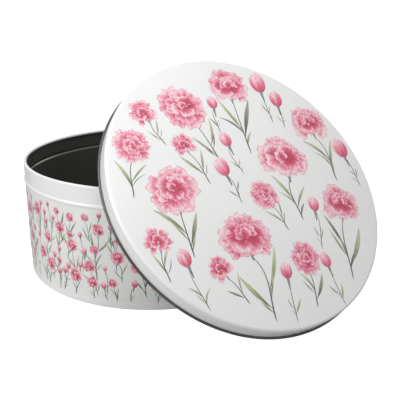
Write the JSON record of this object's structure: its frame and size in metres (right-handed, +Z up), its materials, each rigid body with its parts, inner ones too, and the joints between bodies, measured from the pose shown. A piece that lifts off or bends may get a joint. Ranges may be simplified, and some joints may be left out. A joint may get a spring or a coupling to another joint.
{
  "type": "slip-lid tin",
  "caption": "Round slip-lid storage tin with a beaded body, a rolled rim and a floral print, its flat curled lid off and leaning on the rim.",
  "frame": {"origin": "centre of the flat foot that the tin stands on", "axes": "+Z up along the tin's axis; the lid leans on the rim towards -Y, so its printed face looks towards -Y and up"},
  "size_m": [0.2036, 0.2517, 0.1449],
  "materials": {
    "tin_enamel": "white satin enamel outside, dark lacquer inside",
    "bottom_lacquer": "dark satin lacquer on tinplate",
    "lid_enamel": "white satin enamel outside, dark lacquer inside and on the curl",
    "flower_ink": "pink printing ink under satin varnish",
    "leaf_ink": "grey-green printing ink under satin varnish"
  },
  "bodies": {
    "tin": {"body_wall": "tin_enamel", "bottom_end": "bottom_lacquer"},
    "lid": {"lid": "lid_enamel"}
  },
  "joints": [
    {"name": "lid_lift", "type": "slide", "parent": "tin", "child": "lid", "axis": [0, -0.7337, 0.6794], "range_m": [0, 0.12]}
  ]
}
